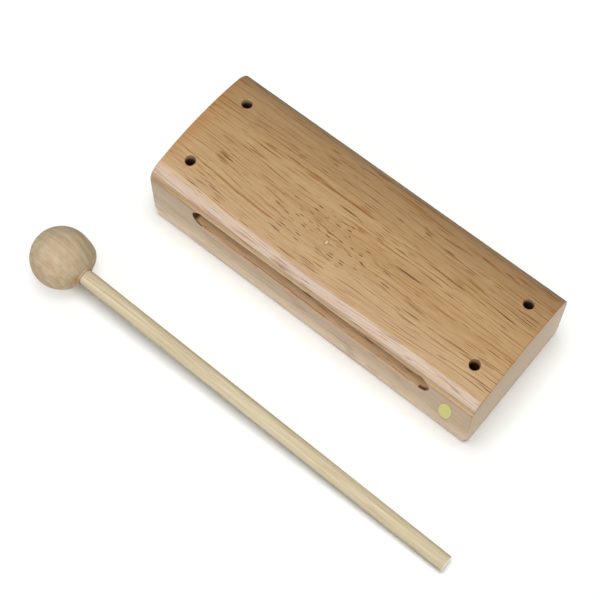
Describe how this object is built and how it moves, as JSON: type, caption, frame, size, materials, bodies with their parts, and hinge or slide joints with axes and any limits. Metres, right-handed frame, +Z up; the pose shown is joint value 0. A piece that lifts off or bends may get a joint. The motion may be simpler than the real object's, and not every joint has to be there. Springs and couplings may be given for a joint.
{
  "type": "wood block",
  "caption": "Hardwood wood block with a crowned top, a round-ended sound slot along its front and screw holes down through it, with its ball-and-dowel beater lying beside it.",
  "frame": {"origin": "middle of the block's underside, on the surface that it stands on", "axes": "+X along the block towards the end with the label, +Y to its back, away from the slot, +Z up"},
  "size_m": [0.2457, 0.1397, 0.045],
  "materials": {
    "block_wood": "satin lacquer",
    "ball_wood": "bare, turned and sanded",
    "handle_wood": "bare dowel",
    "label_film": "thin blank film"
  },
  "bodies": {
    "block": {"block_body": "block_wood", "front_label": "label_film"},
    "beater": {"beater_handle": "handle_wood", "beater_ball": "ball_wood"}
  },
  "joints": [
    {"name": "beater_lift", "type": "slide", "parent": "block", "child": "beater", "axis": [0, 0, 1], "range_m": [0, 0.12]}
  ]
}
